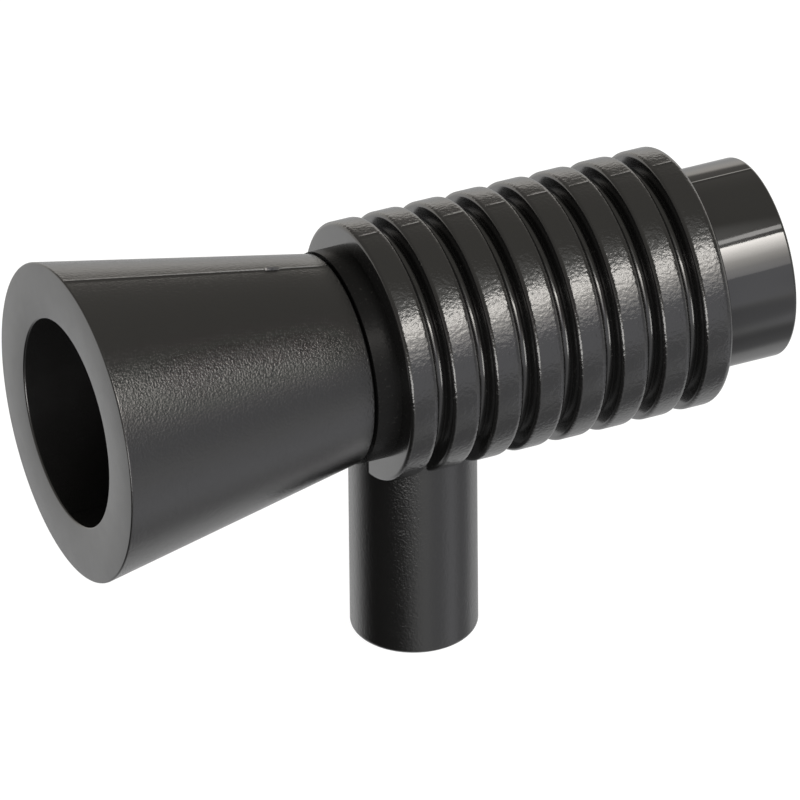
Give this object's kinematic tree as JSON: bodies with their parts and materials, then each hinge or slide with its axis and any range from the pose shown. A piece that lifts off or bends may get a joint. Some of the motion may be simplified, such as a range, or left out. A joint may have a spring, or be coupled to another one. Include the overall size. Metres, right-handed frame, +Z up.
{
  "type": "toy loudhailer",
  "caption": "Loudhailer accessory for a small toy figure: flared horn with a blind bore, ribbed barrel, round rear spigot, and a round handle bar beneath.",
  "frame": {"origin": "centre of the handle's flat foot, which is also the bottom centre of the whole part", "axes": "+X along the barrel's axis from the horn's mouth to the rear spigot, +Z up the handle"},
  "size_m": [0.0185, 0.008, 0.0122],
  "materials": {
    "horn": "black ABS, fine worn spark texture",
    "barrel": "black ABS, smooth from the mould",
    "ribs": "black ABS, fine texture on the crowns and smooth grooves",
    "spigot": "black ABS, polished",
    "handle": "black ABS, fine texture"
  },
  "bodies": {
    "root": {"horn": "horn", "barrel_core": "barrel", "rib_1": "ribs", "rib_2": "ribs", "rib_3": "ribs", "rib_4": "ribs", "rib_5": "ribs", "rib_6": "ribs", "rib_7": "ribs", "rib_8": "ribs", "rear_spigot": "spigot", "handle": "handle"}
  },
  "joints": []
}
